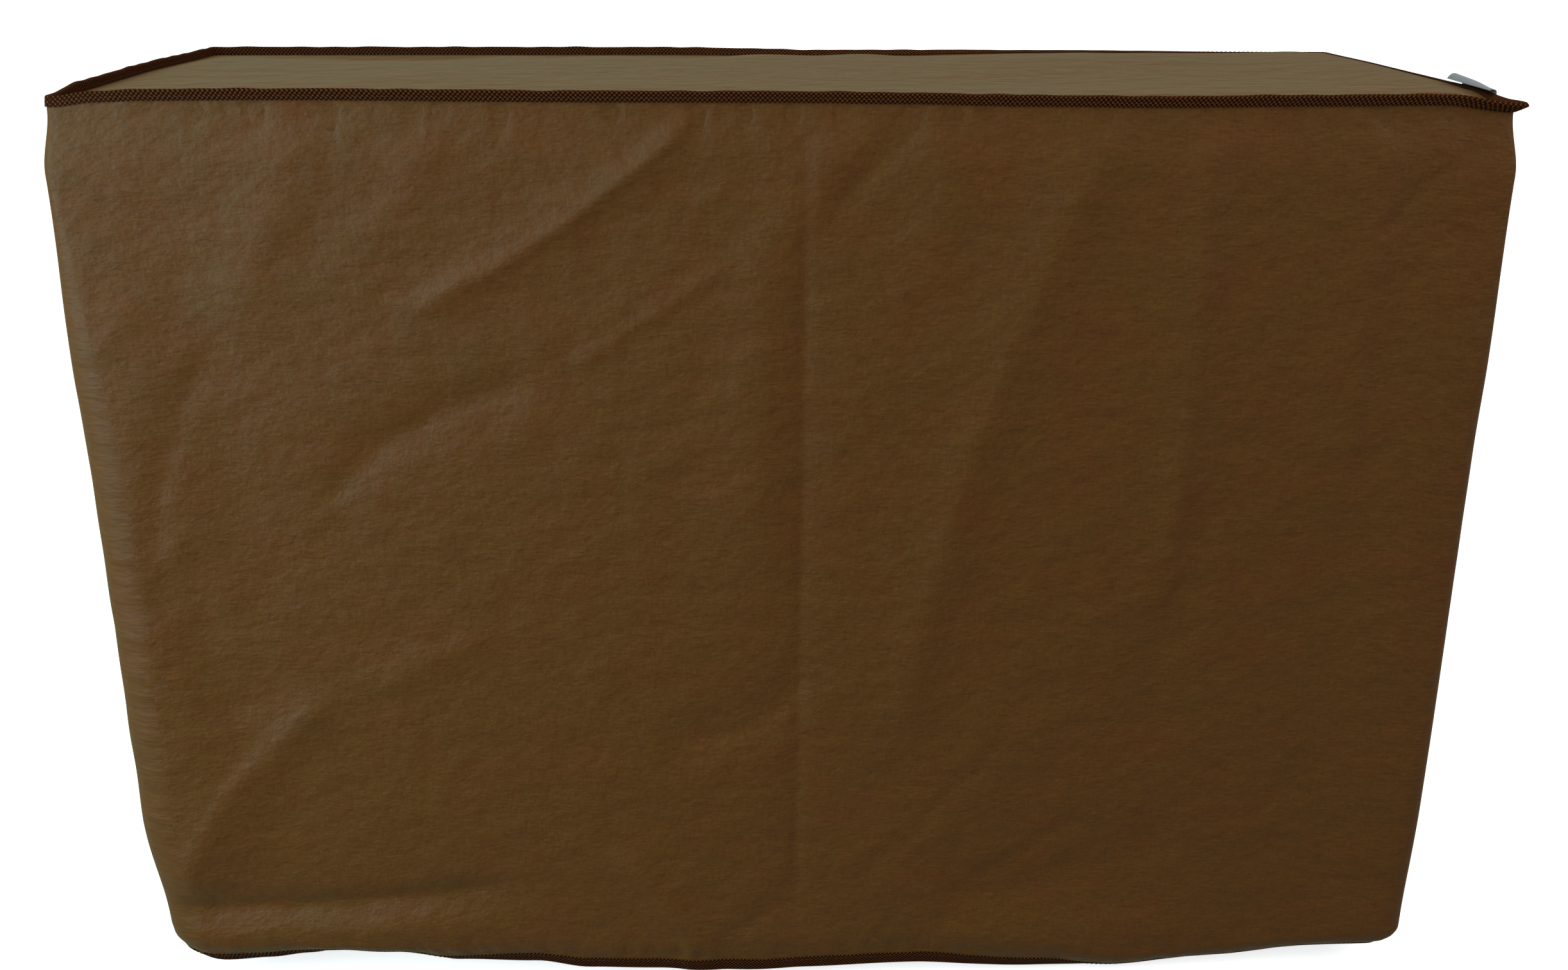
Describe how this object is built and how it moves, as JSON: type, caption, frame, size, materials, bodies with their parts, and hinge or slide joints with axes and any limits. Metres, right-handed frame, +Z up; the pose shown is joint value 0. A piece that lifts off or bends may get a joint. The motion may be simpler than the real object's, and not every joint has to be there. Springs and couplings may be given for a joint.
{
  "type": "air conditioner cover",
  "caption": "Fitted cloth dust cover for an outdoor air conditioner unit: an open-bottomed box with a taped seam flange and taped hem.",
  "frame": {"origin": "middle of the top panel's underside, where it lies on the lid of the unit", "axes": "+Z up, +X along the cover's length, towards the side with the label, and -Y towards the front"},
  "size_m": [0.888, 0.3472, 0.6212],
  "materials": {
    "cloth": "coated woven cloth, brown, slight sheen",
    "edge_tape": "non-woven tape, dark brown, embossed with small dots",
    "label_satin": "white satin ribbon, blank"
  },
  "bodies": {
    "root": {"skirt": "cloth", "top_panel": "cloth", "top_tape": "edge_tape", "hem_tape": "edge_tape", "label": "label_satin"}
  },
  "joints": []
}
